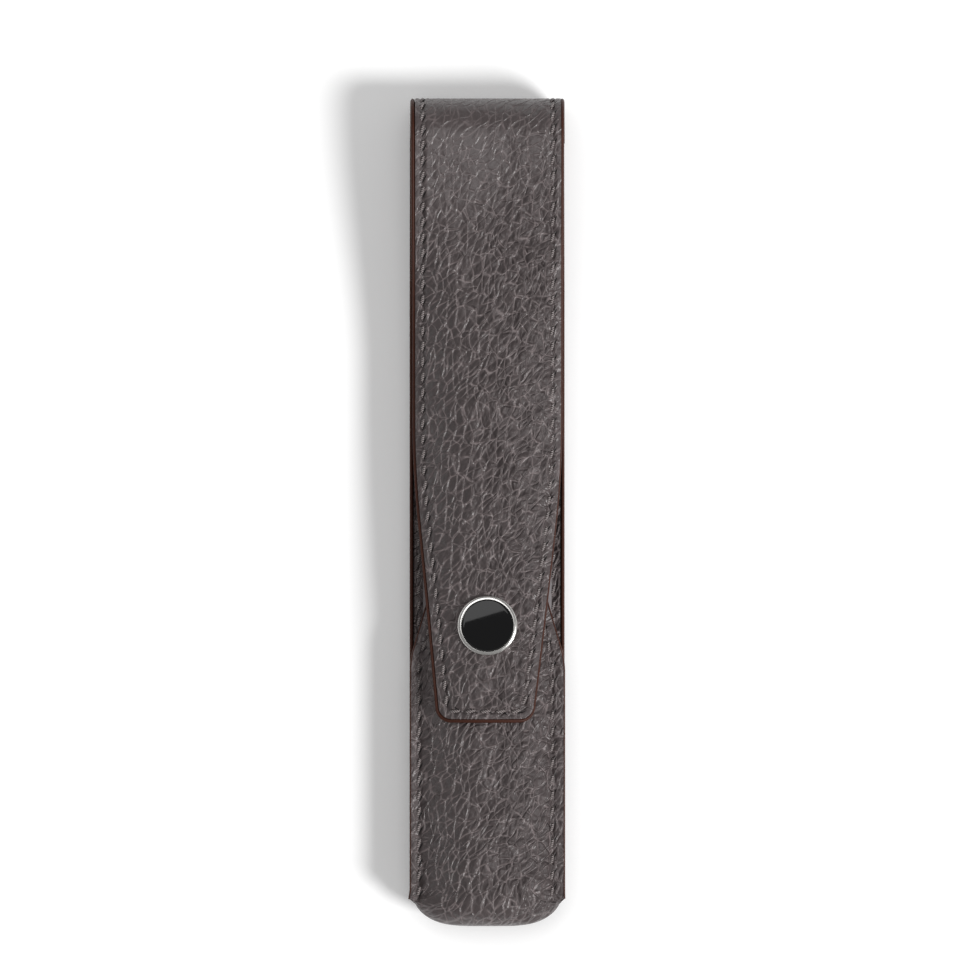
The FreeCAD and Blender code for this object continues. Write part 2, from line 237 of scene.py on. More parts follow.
# %% Sewn rows
stitch_pitch, row_inset = 3.1, 2.3
left_x, right_x, right_mouth_x = -13.75, 12.95, 13.2
tongue_row_y = tongue_top_y - 1.9
tongue_end_y = tongue_row_y - 16.6
mouth_end_y = flare_y + 6.0
flap_row = flap_outline(row_inset)
flap_row[:, 0] += askew(flap_row[:, 1])
left_row = rounded([(left_x, flare_y), (left_x, ear_y)])
right_row = rounded([(right_x, ear_y), (right_x, flare_y)])
left_mouth_row = rounded([(left_x, mouth_y), (left_x, mouth_end_y)])
right_mouth_row = rounded([(right_mouth_x, mouth_end_y), (right_mouth_x, mouth_y)])
tongue_middle = (0.0, tongue_row_y)
left_tongue_row = rounded([tongue_middle, (-8.2, tongue_row_y), (-13.2, tongue_end_y)], (corner_radius,))
right_tongue_row = rounded([(12.7, tongue_end_y), (8.0, tongue_row_y), tongue_middle], (corner_radius,))

def lengths(row):
    return np.concatenate([[0.0], np.cumsum(np.linalg.norm(np.diff(row, axis=0), axis=1))])

def stitch_count(row):
    return max(1, round(lengths(row)[-1] / stitch_pitch))

print("flap row has %d stitches" % stitch_count(flap_row))

# %% Near the sewn rows
no_row = 9.0

def along_rows(x, y, rows):
    """For each point, the stitches along the nearest row and the mm out from it, no_row past its ends."""
    points = np.concatenate(rows)
    ahead = np.concatenate([np.gradient(row, axis=0) for row in rows])
    ahead /= np.linalg.norm(ahead, axis=1)[:, None]
    stitches = np.concatenate([lengths(row) / lengths(row)[-1] * stitch_count(row) for row in rows])
    tree = kdtree.KDTree(len(points))
    for k, (px, py) in enumerate(points):
        tree.insert((px, py, 0.0), k)
    tree.balance()
    nearest = np.array([tree.find((px, py, 0.0))[1] for px, py in zip(x, y)])
    away = np.stack([x, y], axis=1) - points[nearest]
    forward = (away * ahead[nearest]).sum(axis=1)
    outward = away[:, 0] * ahead[nearest, 1] - away[:, 1] * ahead[nearest, 0]
    past_end = np.abs(forward) > 0.5
    return stitches[nearest] + forward / stitch_pitch, np.where(past_end, no_row, outward)

def groove(stitches, outward):
    """Depth in mm of a sewn row's groove, less the bulges that it pushes up between the holes."""
    at_hole = 0.5 + 0.5 * np.cos(2 * np.pi * stitches)
    depth = (0.24 + 0.16 * at_hole) * np.exp(-(outward / 0.48) ** 2)
    return depth - 0.10 * (1 - at_hole) * np.exp(-((np.abs(outward) - 0.95) / 0.45) ** 2)

def pressed(outward):
    """Share of the grain that is left where the creaser has pressed the margin outside a sewn row."""
    return 1.0 - 0.4 * np.clip(outward / 0.8, 0.0, 1.0) * (outward < 5.0)

print("a row is %.2f mm deep at its holes" % groove(0.0, 0.0))

# %% [markdown]
# ## From grid to sheet
# Every sheet starts as a flat grid primitive, as leather starts as a flat strip. Its points are then
# put on the formed shape, and the Solidify modifier gives it its thickness. Each point also keeps where
# it was on the flat strip, in millimetres, so that the grain runs on from the front round the nose, up
# the back and over the fold into the flap.

# %% From grid to sheet

def formed_grid(name, columns, rows, place):
    """A grid primitive with its points where place(column, row) says, in mm, and its other answers kept."""
    bpy.ops.object.select_all(action="DESELECT")
    bpy.ops.mesh.primitive_grid_add(x_subdivisions=len(columns) - 1, y_subdivisions=len(rows) - 1, size=2)
    piece = bpy.context.object
    piece.name = piece.data.name = name
    flat = np.zeros(len(piece.data.vertices) * 3)
    piece.data.vertices.foreach_get("co", flat)
    flat = (flat.reshape(-1, 3) + 1) / 2
    column = np.asarray(columns)[np.rint(flat[:, 0] * (len(columns) - 1)).astype(int)]
    row = np.asarray(rows)[np.rint(flat[:, 1] * (len(rows) - 1)).astype(int)]
    points, *kept = place(column, row)
    piece.data.vertices.foreach_set("co", (np.stack(points, axis=1) * MM).ravel())
    for title, parts in zip(("strip_mm", "seam"), kept):
        layer = piece.data.attributes.new(title, "FLOAT_VECTOR", "POINT")
        layer.data.foreach_set("vector", np.stack(np.broadcast_arrays(*parts), axis=1).ravel())
    piece.data.update()
    return piece

# %% Thickness and finish

def thicken(piece, thickness):
    """Gives a sheet its thickness, inward from the face that was formed."""
    solid = piece.modifiers.new("thickness", "SOLIDIFY")
    solid.thickness = thickness * MM
    solid.offset = -1.0
    solid.use_even_offset = True
    solid.material_offset_rim = 1
    bpy.context.view_layer.objects.active = piece
    bpy.ops.object.modifier_apply(modifier=solid.name)

def finish_piece(piece, body, nodes, materials, angle=60.0):
    """Smooth shading, materials, and the piece's place in the frame."""
    bpy.ops.object.select_all(action="DESELECT")
    piece.select_set(True)
    bpy.context.view_layer.objects.active = piece
    bpy.ops.object.shade_smooth_by_angle(angle=math.radians(angle))
    for material in materials:
        piece.data.materials.append(material)
    if body:
        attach(piece, body)
    if nodes:
        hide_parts(*nodes)
    print(piece.name, len(piece.data.polygons), "faces")

def spread(start, end, step):
    """Evenly spread values from start to end, about step apart."""
    return np.linspace(start, end, max(2, round(abs(end - start) / step) + 1))

# %% [markdown]
# ## Colours and nodes
# Colours are written as sRGB hex values, the way a colour picker shows them. Cycles works in linear
# light, so one function turns them over. Another adds a shader node with its settings and its links in
# one line, which keeps a material readable from top to bottom.

# %% Colours and nodes

def colour(hex_value):
    """Linear RGBA from an sRGB hex value."""
    parts = [int(hex_value[k:k + 2], 16) / 255 for k in (0, 2, 4)]
    return tuple(c / 12.92 if c <= 0.04045 else ((c + 0.055) / 1.055) ** 2.4 for c in parts) + (1.0,)

def new_material(name):
    material = bpy.data.materials.new(name)
    material.use_nodes = True
    tree = material.node_tree
    return material, tree, tree.nodes["Principled BSDF"]

def node(tree, kind, inputs=(), **settings):
    """Adds a node and gives back one output; inputs are values or outputs, in order or by socket name."""
    made = tree.nodes.new(kind)
    output = settings.pop("output", 0)
    for key, value in settings.items():
        setattr(made, key, value)
    pairs = inputs.items() if isinstance(inputs, dict) else enumerate(inputs)
    for socket, value in pairs:
        if isinstance(value, bpy.types.NodeSocket):
            tree.links.new(value, made.inputs[socket])
        else:
            made.inputs[socket].default_value = value
    return made.outputs[output]

print("the hide's grey in linear light: %.3f" % colour("4e4646")[0])

# %% [markdown]
# ## Grain leather
# The hide is full-grain calf, shrunk in the drum, so that it draws up into pebbles two to four
# millimetres long with sharp creases between them, and dyed grey. To the eye that gives dark pebbles
# with a satin shine, and creases that catch the light as bright lines. Stretching has laid the creases
# along two directions: long ones that rise to the right and steeper, shorter ones. Two stretched
# Voronoi patterns, measured by distance to their cell edges, give both, and a finer one gives the
# wrinkles on the pebbles. Each pebble leans a little to one side, so its crease has a high wall and a
# low one, and only the high one shines. The relief is a bump, because it is a fraction of a millimetre
# high, far below what the outline shows.

# %% Grain leather
grain, tree, shader = new_material("calf leather, drum-shrunk pebble grain")
strip = node(tree, "ShaderNodeAttribute", attribute_name="strip_mm", output="Vector")
side = node(tree, "ShaderNodeSeparateXYZ", [strip], output=0)
strength = node(tree, "ShaderNodeSeparateXYZ", [strip], output=2)

def calc(operation, *values):
    """A Math node on values and outputs of other nodes."""
    return node(tree, "ShaderNodeMath", values, operation=operation)

def between(value, from_low, from_high, to_low, to_high):
    """A Map Range node that goes over smoothly from one end of its range to the other."""
    ends = [value, from_low, from_high, to_low, to_high]
    return node(tree, "ShaderNodeMapRange", ends, interpolation_type="SMOOTHSTEP")

def drawn(vector, size_mm, by_mm):
    """The vector, pulled about by soft noise of the given size."""
    pull = node(tree, "ShaderNodeTexNoise", {"Vector": vector, "Scale": 1 / size_mm, "Detail": 1.0},
                noise_dimensions="2D", output="Color")
    centred = node(tree, "ShaderNodeVectorMath", [pull, (0.5, 0.5, 0.5)], operation="SUBTRACT")
    reach = (4 * by_mm, 4 * by_mm, 0.0)
    scaled = node(tree, "ShaderNodeVectorMath", [centred, reach], operation="MULTIPLY")
    return node(tree, "ShaderNodeVectorMath", [vector, scaled], operation="ADD")

def crease(vector, turn_deg, long_mm, short_mm):
    """For cells of long_mm by short_mm, the mm to the nearest crease and across from the middle."""
    cells = node(tree, "ShaderNodeMapping", {"Vector": vector, "Rotation": (0, 0, math.radians(turn_deg)),
                                             "Scale": (long_mm, short_mm, 1.0)}, vector_type="TEXTURE")
    pattern = {"Vector": cells, "Scale": 1.0, "Randomness": 0.75}
    edge = node(tree, "ShaderNodeTexVoronoi", pattern, voronoi_dimensions="2D",
                feature="DISTANCE_TO_EDGE", output="Distance")
    middle = node(tree, "ShaderNodeTexVoronoi", pattern, voronoi_dimensions="2D",
                  feature="F1", output="Position")
    off = node(tree, "ShaderNodeVectorMath", [middle, cells], operation="SUBTRACT")
    across = node(tree, "ShaderNodeSeparateXYZ", [off], output=1)
    edge_mm = calc("MULTIPLY", edge, short_mm)
    return edge_mm, calc("MULTIPLY", across, short_mm)

def patches(size_mm, least, most):
    """A value that drifts between least and most over the hide, in clouds of the given size."""
    cloud = node(tree, "ShaderNodeTexNoise", {"Vector": strip, "Scale": 1 / size_mm, "Detail": 1.0},
                 noise_dimensions="2D")
    return between(cloud, 0.36, 0.64, least, most)

# %% Creases of the grain
laid = drawn(drawn(strip, 9.0, 0.9), 1.8, 0.12)
rising = crease(laid, 45.0, 4.5, 1.65)
leaning = crease(laid, 84.0, 3.7, 1.8)
fine = crease(drawn(strip, 2.0, 0.2), 62.0, 1.5, 0.8)
pores = node(tree, "ShaderNodeTexNoise", {"Vector": strip, "Scale": 1 / 0.34, "Detail": 2.0},
             noise_dimensions="2D")
nearest = calc("MINIMUM", rising[0], leaning[0])
dome = between(nearest, 0.0, 0.9, 0.0, 1.0)
print("creases, pores and pebbles: %d nodes" % len(tree.nodes))

# %% [markdown]
# The grain of the photograph stands out as much on the right, where the light strikes it squarely and
# leaves few shadows, as on the left. So towards the right the pebbles lean more, and their creases are
# deeper.

# %% Relief of the grain
more_lean = between(side, -3.0, 8.0, 1.0, 1.75)
more_depth = between(side, -3.0, 8.0, 1.0, 1.85)

def pebbles(cells, wall_mm, lean, depth_mm):
    """Height of pebbles that lean to one side, above creases depth_mm deep with walls wall_mm wide."""
    crease_mm, across_mm = cells
    wall = between(crease_mm, 0.0, wall_mm, 0.0, 1.0)
    slope = calc("MULTIPLY", across_mm, more_lean)
    depth = calc("MULTIPLY", depth_mm, more_depth)
    top = calc("MULTIPLY_ADD", slope, lean, depth)
    return calc("MULTIPLY", wall, top)

heights = [
    (pebbles(rising, 0.24, 0.23, patches(2.6, 0.03, 0.17)), 1.0),
    (pebbles(leaning, 0.21, 0.19, patches(2.2, 0.01, 0.10)), 1.0),
    (pebbles(fine, 0.18, 0.07, patches(4.0, 0.004, 0.025)), 1.0),
    (dome, 0.03),
    (pores, 0.022),
]
relief = 0.0
for height, share in heights:
    relief = calc("MULTIPLY_ADD", height, share, relief)
relief = calc("MULTIPLY", relief, strength)

# %% Slits of the awl
seam = node(tree, "ShaderNodeAttribute", attribute_name="seam", output="Vector")
stitches, outward, to_right = [node(tree, "ShaderNodeSeparateXYZ", [seam], output=k) for k in range(3)]
beside = calc("MULTIPLY_ADD", to_right, -0.38, outward)

def slits(out, ahead_mm, out_mm, long_mm, short_mm):
    """1 in slits of half lengths long_mm and short_mm, slanted outwards, at one place in every stitch."""
    turns = calc("ADD", stitches, -ahead_mm / stitch_pitch)
    share = calc("FRACT", turns)
    ahead = calc("MULTIPLY_ADD", share, stitch_pitch, -stitch_pitch / 2)
    spot = node(tree, "ShaderNodeCombineXYZ", [ahead, out])
    slant = node(tree, "ShaderNodeMapping", {"Vector": spot, "Location": (0.0, out_mm, 0.0),
                                             "Rotation": (0, 0, math.radians(28.0)),
                                             "Scale": (long_mm, short_mm, 1.0)}, vector_type="TEXTURE")
    reach = node(tree, "ShaderNodeVectorMath", [slant], operation="LENGTH", output="Value")
    return between(reach, 0.35, 1.3, 1.0, 0.0)

slit_and_shade = slits(beside, 0.55, 0.0, 0.95, 0.17)
pulled = slits(outward, 2.7, 1.0, 1.0, 0.20)
for cut, depth_mm in ((slit_and_shade, 0.22), (pulled, 0.05)):
    relief = calc("MULTIPLY_ADD", cut, -depth_mm, relief)
bump = node(tree, "ShaderNodeBump", {"Height": relief, "Strength": 1.0, "Distance": MM})
tree.links.new(bump, shader.inputs["Normal"])

# %% Colour and shine of the grain
# Lighter tone along the creases: partly the grain's own lighter colour there, partly painted highlight where
# the creases catch the light.
crease_tone_and_highlight = between(nearest, 0.01, 0.12, 1.0, 0.0)
crease_tone_and_highlight_share = between(strength, 0.0, 1.0, 0.4, 1.0)
for share in (patches(1.7, 0.1, 1.0), crease_tone_and_highlight_share):
    crease_tone_and_highlight = calc("MULTIPLY", crease_tone_and_highlight, share)
# The near-black tone in the awl's slits is painted shade in the cuts.
shade = colour("4e4646")
for share, tone in ((crease_tone_and_highlight, "716767"), (slit_and_shade, "181616")):
    shade = node(tree, "ShaderNodeMix", {"Factor": share, "A": shade, "B": colour(tone)},
                 data_type="RGBA", output="Result")
tree.links.new(shade, shader.inputs["Base Color"])
shine = between(pores, 0.3, 0.7, 0.32, 0.42)
shine = calc("MULTIPLY_ADD", slit_and_shade, 0.4, shine)
tree.links.new(shine, shader.inputs["Roughness"])
shader.inputs["Specular IOR Level"].default_value = 0.45
print("made", grain.name, "with", len(tree.nodes), "nodes")

# %% [markdown]
# ## Smooth lining and painted edges
# The inside is thin calf with the grain plated flat, a little lighter than the outside and matt. The
# cut edges are sanded, painted in several coats with brown acrylic edge paint and rubbed, so they are
# round, satin and slightly uneven. Both are close to one colour, so a soft noise in colour and
# roughness is what keeps them from looking moulded.

# %% Smooth lining and painted edges

def plain_finish(name, tones, roughness, cloud_mm, relief_mm):
    """A finish of two close tones in clouds of the given size, with a fine relief."""
    material, tree, shader = new_material(name)
    place = node(tree, "ShaderNodeTexCoord", output="Object")
    cloud_scale = 1 / (cloud_mm * MM)
    cloud = node(tree, "ShaderNodeTexNoise", {"Vector": place, "Scale": cloud_scale, "Detail": 4.0})
    shade = node(tree, "ShaderNodeMix", {"Factor": cloud, "A": colour(tones[0]), "B": colour(tones[1])},
                 data_type="RGBA", output="Result")
    gloss = node(tree, "ShaderNodeMapRange", [cloud, 0.0, 1.0, *roughness])
    bump = node(tree, "ShaderNodeBump", {"Height": cloud, "Strength": 1.0, "Distance": relief_mm * MM})
    tree.links.new(shade, shader.inputs["Base Color"])
    tree.links.new(gloss, shader.inputs["Roughness"])
    tree.links.new(bump, shader.inputs["Normal"])
    return material

smooth_calf = plain_finish("calf lining, plated smooth", ("6b6667", "787274"), (0.5, 0.65), 0.8, 0.01)
edge_paint = plain_finish("acrylic edge paint, rubbed", ("361e17", "46261b"), (0.4, 0.55), 0.9, 0.02)
edge_paint.node_tree.nodes["Principled BSDF"].inputs["Specular IOR Level"].default_value = 0.15
print("made", smooth_calf.name, "and", edge_paint.name)

# %% [markdown]
# ## Outer strip
# This is the piece that takes the most skill on the real sleeve: one sheet that lies crowned over the
# pocket, turns under at the nose, hollows out along the back and eases flat towards the fold. It could
# be cut into a front, a nose and a back, but the grain would then break at the joins. One long grid is
# laid along the strip instead, from the fold down the back, round the nose and up the front to the
# hidden end of the tongue. Towards the nose the sheet spreads a little, as leather does that is pulled
# round a corner, and between the ears of the seams its outline is rounded. Where the strip is bent, at
# the nose and at the fold, the pull leaves only a third of the grain's height.

# %% Outer strip
back_length = fold_y - body_start_y
nose_length = 16.0
front_start = back_length + nose_length
strip_end = front_start + tongue_top_y - body_start_y
leather_inset = 0.05
nose_spread, nose_reach = 1.5, 0.55
bent_grain = 0.35
tongue_edge = tongue_outline(leather_inset)
margin = np.concatenate([spread(11.4, seam_half, 0.22), spread(seam_half, half_width, 0.22)[1:]])
strip_columns = np.concatenate([-margin[::-1], spread(-11.4, 11.4, 0.5)[1:-1], margin])

def nose_widen(x, y):
    """The sheet's spread towards the nose, and the ears' turn outwards at their ends."""
    share = ease(y, corner_y, ear_y + 2.5)
    core = np.clip(np.abs(x) / seam_half, 0.0, 1.0)
    ear = np.clip((np.abs(x) - seam_half) / (half_width - seam_half), 0.0, 1.0)
    turned_out = np.where(x < 0, 0.3, 0.05)
    return x + np.sign(x) * share * (nose_spread * core * (1.0 - ear) + turned_out * ear)

def nose_tip(x):
    share = np.minimum(1.0, np.abs(x / seam_half)) ** 4
    depth = corner_y - nose_y + nose_reach
    return nose_y - nose_reach + depth * (1.0 - (1.0 - share) ** 0.8)

def nose_turn(x, angle):
    """Y and Z of the nose at x, at this angle from straight up round an axis across the body's start."""
    along = body_start_y - nose_tip(x)
    upper = front_top(x, 0.0) - nose_axis_z
    lower = nose_axis_z - back_height(x, 0.0)
    upright = np.where(np.cos(angle) > 0, upper, lower)
    radius = along * upright / np.hypot(along * np.cos(angle), upright * np.sin(angle))
    return body_start_y - radius * np.sin(angle), nose_axis_z + radius * np.cos(angle)

def place_strip(column, row):
    """A point of the strip's outer face, from its column and its distance from the fold."""
    back_y = np.maximum(fold_y - row, body_start_y)
    front_y = body_start_y + np.maximum(row - front_start, 0.0)
    angle = np.pi * (1.0 - np.clip((row - back_length) / nose_length, 0.0, 1.0))
    on_back, on_front = row <= back_length, row >= front_start
    core = np.clip(column, -seam_half, seam_half)
    turn_y, turn_z = nose_turn(core, angle)
    fin_share = np.clip((turn_y - corner_y) / (ear_y - corner_y), 0.0, 1.0)
    edge_share = (half_width - leather_inset - seam_half) / (half_width - seam_half)
    x = core + (column - core) * np.where(on_back | on_front, 1.0, fin_share) * edge_share
    tongue_share = half_at(tongue_edge, np.maximum(front_y, ear_y)) / (half_width - leather_inset)
    x = np.where(on_front, x * tongue_share, x)
    y = np.where(on_back, back_y, np.where(on_front, front_y, turn_y))
    z = np.where(on_back, back_height(x, back_y), np.where(on_front, front_top(x, front_y), turn_z))
    wide = nose_widen(x, y)
    stitches, outward = along_rows(wide, y, [left_row, right_row, left_tongue_row, right_tongue_row])
    outward = np.where(on_front | (~on_back & (angle < 0.9)), outward, no_row)
    z = z - groove(stitches, outward)
    at_nose = np.exp(-((angle - 0.55 * np.pi) / 0.9) ** 2)
    grain_share = (1.0 - (1.0 - bent_grain) * at_nose) * pressed(outward)
    return (wide, y, z), (x, row, grain_share), (stitches, outward, np.clip(x / 6, -1, 1))

strip_rows = np.concatenate([spread(0.0, back_length, 1.0), spread(back_length, front_start, 0.16)[1:],
                             spread(front_start, strip_end, 0.4)[1:]])
outer_strip = formed_grid("outer_strip", strip_columns, strip_rows, place_strip)
thicken(outer_strip, pared)
finish_piece(outer_strip, "sleeve", ["outer_wrap"], [grain, edge_paint])

# %% [markdown]
# ## Flap
# The flap is the last stretch of the same strip. Its grid is narrowed row by row to the tapered
# outline, with finer rows at the tip so that the rounded corners stay round, and the sewn row along its
# edge is pressed in, as is a shallow dip under the emblem's ring. On the real one the leather was sewn a
# little to the right of its lining, so more of the left edge's paint shows. Like the outer strip, the
# leather is pared thinner where its lining covers it, so that it doesn't press through.

# %% Flap
flap_inset, flap_lean = 0.75, 0.16
ring_dip, ring_dip_width = 0.16, 0.8
flap_edge_line = flap_outline(flap_inset)
fold_length = math.pi * fold_radius
emblem_low, emblem_high = low("emblem_bezel"), high("emblem_bezel")
emblem_y = (emblem_low.y + emblem_high.y) / 2
emblem_radius = (emblem_high.x - emblem_low.x) / 2

def place_flap(column, row):
    x = column * half_at(flap_edge_line, row) + flap_lean + askew(row)
    stitches, outward = along_rows(x, row, [flap_row])
    around = np.hypot(x, row - emblem_y) - emblem_radius
    dent = ring_dip * np.exp(-(around / ring_dip_width) ** 2)
    z = flap_top(x, row) - groove(stitches, outward) - dent
    away_from_fold = ease(row, fold_y - 28.0, fold_y)
    grain_share = (bent_grain + (1.0 - bent_grain) * away_from_fold) * pressed(outward)
    seam_at = (stitches, outward, np.clip(x / 6, -1, 1))
    return (x, row, z), (x, row - fold_y - fold_length, grain_share), seam_at

flap_rows = np.concatenate([spread(tip_y + flap_inset, tip_y + 4.0, 0.13),
                            spread(tip_y + 4.0, fold_y, 0.38)[1:]])
margin = np.concatenate([spread(0.72, 0.96, 0.014), spread(0.96, 1.0, 0.02)[1:]])
flap_columns = np.concatenate([-margin[::-1], spread(-0.72, 0.72, 0.032)[1:-1], margin])
flap = formed_grid("flap", flap_columns, flap_rows, place_flap)
thicken(flap, pared)
finish_piece(flap, "flap", ["flap_leather"], [grain, edge_paint])

# %% [markdown]
# ## Fold
# Between the back and the flap the strip bends in a half round, and this is the only part that bends
# when the flap is opened. It is its own piece, attached to neither body.

# %% Fold
fold_row_x = half_width - row_inset
fold_stitches = round(fold_length / stitch_pitch)

def around_fold(radius, turn):
    """Y and Z on the half round, from 0 at the back to pi at the flap."""
    return fold_y + radius * np.sin(turn), fold_radius - radius * np.cos(turn)

def bend(piece):
    """Bakes the piece's placement into its mesh; it is attached to neither body."""
    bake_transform(piece)

def place_fold(column, row):
    x = column * (half_width - flap_inset) + flap_lean * row / np.pi
    stitches = row / np.pi * fold_stitches * -np.sign(x)
    outward = np.abs(x) - fold_row_x
    y, z = around_fold(fold_radius - groove(stitches, outward), row)
    return (x, y, z), (x, -row * fold_radius, bent_grain), (stitches, outward, np.clip(x / 6, -1, 1))

fold_piece = formed_grid("fold", flap_columns, spread(math.pi, 0.0, 0.045), place_fold)
thicken(fold_piece, leather)
finish_piece(fold_piece, None, ["fold_leather"], [grain, edge_paint])
bend(fold_piece)

# %% [markdown]
# ## Pocket panel
# The panel that closes the pen pocket lies under the flap. Only its sewn fins and a sliver of its crown
# show beside the taper. The fins are the same grain leather, cut from another place of the hide, and the
# crown is smooth, so its faces get one of two materials by place. A round notch at the mouth leaves room
# for a thumb.

# %% Pocket panel
side_inset, crown_half = 0.75, 12.8
notch_radius, notch_middle_y = 14.0, mouth_y + 9.0
other_place = 60.0

def place_pocket(column, row):
    x = column * (half_width - side_inset)
    notch = np.sqrt(np.maximum(notch_radius ** 2 - x ** 2, 0.0))
    end_y = np.minimum(mouth_y, notch_middle_y - notch)
    y = body_start_y + row * (end_y - body_start_y)
    stitches, outward = along_rows(x, y, [left_mouth_row, right_mouth_row])
    z = pocket_top(x, y) - 0.6 * groove(stitches, outward)
    return (x, y, z), (x + other_place, y, 1.0), (stitches, no_row, 0.0)

pocket_columns, pocket_rows = np.linspace(-1.0, 1.0, 69), np.linspace(0.0, 1.0, 204)
pocket = formed_grid("pocket", pocket_columns, pocket_rows, place_pocket)
thicken(pocket, panel)
finish_piece(pocket, "sleeve", ["pocket_panel"], [grain, edge_paint, smooth_calf])
for face in pocket.data.polygons:
    if abs(face.center.x) < crown_half * MM and face.material_index == 0:
        face.material_index = 2

# %% [markdown]
# ## Linings
# Thin smooth calf is glued under the back, the front panel, the fold and the flap. It shows when the
# flap is open. Each lining follows the sheet above it at one leather's thickness, so it is the same
# grid formula with another height.

# %% Linings
lining_inset, flap_lining_inset = 0.7, 0.8

def place_back_lining(column, row):
    x = column * (half_width - lining_inset)
    return ((x, row, back_height(x, row) + leather + glue + lining),)

def place_front_lining(column, row):
    x = column * half_at(tongue_outline(lining_inset), row)
    return ((x, row, front_top(x, row) - leather - glue),)

def place_flap_lining(column, row):
    x = column * half_at(flap_outline(flap_lining_inset), row) + askew(row)
    return ((x, row, flap_top(x, row) - leather - glue),)

def place_fold_lining(column, row):
    x = column * (half_width - flap_lining_inset)
    y, z = around_fold(fold_radius - leather - glue, row)
    return ((x, y, z),)

across = spread(-1.0, 1.0, 0.06)
linings = [
    ("back_sheet", "sleeve", "back_lining", spread(body_start_y, fold_y, 1.5), place_back_lining),
    ("front_sheet", "sleeve", "front_lining", spread(ear_y, tongue_top_y - 0.8, 1.0), place_front_lining),
    ("flap_sheet", "flap", "flap_lining", spread(tip_y + flap_lining_inset, fold_y, 0.6), place_flap_lining),
    ("fold_sheet", None, "fold_lining", spread(math.pi, 0.0, 0.1), place_fold_lining),
]
for name, body, replaced, rows, place in linings:
    sheet = formed_grid(name, across, rows, place)
    thicken(sheet, lining)
    finish_piece(sheet, body, [replaced], [smooth_calf, smooth_calf])
    if not body:
        bend(sheet)

# %% [markdown]
# ## Painted edges
# Edge paint stands proud of the cut as a rounded bead over leather and lining together. The bead is a
# grid again, rolled into a tube of oval section that is swept along the edge, closed along its seam and
# capped at both ends.

# %% Painted edges

def surface_normal(surface, x, y):
    step = 0.05
    slope_x = (surface(x + step, y) - surface(x - step, y)) / (2 * step)
    slope_y = (surface(x, y + step) - surface(x, y - step)) / (2 * step)
    normal = np.stack([-slope_x, -slope_y, np.ones(len(x))], axis=1)
    return normal / np.linalg.norm(normal, axis=1)[:, None]

def edge_bead(name, centres, normals, half_wide, half_tall):
    """An oval bead along the centres, half_tall along the normals and half_wide across them."""
    forward = np.gradient(centres, axis=0)
    forward /= np.linalg.norm(forward, axis=1)[:, None]
    outward = np.cross(forward, normals)
    stops = np.concatenate([[0], np.arange(len(centres)), [len(centres) - 1]])
    last = len(stops) - 1

    def place(column, row):
        swell = np.where((row == 0) | (row == last), 0.0, 1.0)
        spot = stops[row]
        across_bead = outward[spot] * (half_wide * swell * np.cos(column))[:, None]
        up_bead = normals[spot] * (half_tall * swell * np.sin(column))[:, None]
        return (tuple((centres[spot] + across_bead + up_bead).T),)

    bead = formed_grid(name, spread(0.0, 2 * math.pi, 2 * math.pi / 14), np.arange(last + 1), place)
    bpy.ops.object.mode_set(mode="EDIT")
    bpy.ops.mesh.select_all(action="SELECT")
    bpy.ops.mesh.remove_doubles(threshold=0.004 * MM)
    bpy.ops.mesh.normals_make_consistent(inside=False)
    bpy.ops.object.mode_set(mode="OBJECT")
    return bead

def bead_on(name, path, surface, sink, half_wide, half_tall, square=1.0):
    """A bead along a plan line, its middle sink mm under the surface, square to it or (0) straight down."""
    x, y = path[:, 0], path[:, 1]
    normals = surface_normal(surface, x, y)
    centres = np.stack([x, y, surface(x, y)], axis=1) - normals * sink * (square, square, 1.0)
    return edge_bead(name, centres, normals, half_wide, half_tall)

def finish_bead(bead, body):
    finish_piece(bead, body, [], [edge_paint])

# %% Painted edges of the flap and the front
layers = (leather + glue + lining) / 2
proud, overlap, flap_bead_inset = 0.02, 0.8, 0.45
line = flap_outline(flap_bead_inset, fold_y + overlap)[::2]
line[:, 0] += askew(line[:, 1])
finish_bead(bead_on("flap_edge", line, flap_top, layers, 0.45, layers + proud), "flap")
line = tongue_outline(0.0)[::2]
line[:, 0] = nose_widen(line[:, 0], line[:, 1])
finish_bead(bead_on("front_edge", line, front_top, layers, 0.26, layers + proud, square=0.5), "sleeve")

# %% Painted edges of the sides and the fold
side_bead_inset, side_bead_shift = 0.15, -0.06
side_beads = [
    ("_pocket_edge", mouth_y, pocket_top, panel / 2),
    ("_back_edge", fold_y + overlap, back_height, -layers),
]
for side, label in ((-1, "left"), (1, "right")):
    x = side * (half_width - side_bead_inset) + side_bead_shift
    for ending, end_y, surface, sink in side_beads:
        line = rounded([(x, ear_y), (x, end_y)])[::4]
        line[:, 0] = nose_widen(line[:, 0], line[:, 1])
        finish_bead(bead_on(label + ending, line, surface, sink, 0.35, abs(sink) + proud), "sleeve")
    turn = spread(-0.1, math.pi + 0.1, 0.05)
    y, z = around_fold(fold_radius - layers, turn)
    inset = np.interp(turn, [0.0, math.pi], [0.25, flap_bead_inset])
    centres = np.stack([side * (half_width - inset), y, z], axis=1)
    normals = np.stack([np.zeros(len(turn)), np.sin(turn), -np.cos(turn)], axis=1)
    bead = edge_bead(label + "_fold_edge", centres, normals, 0.48, layers)
    finish_bead(bead, None)
    bend(bead)
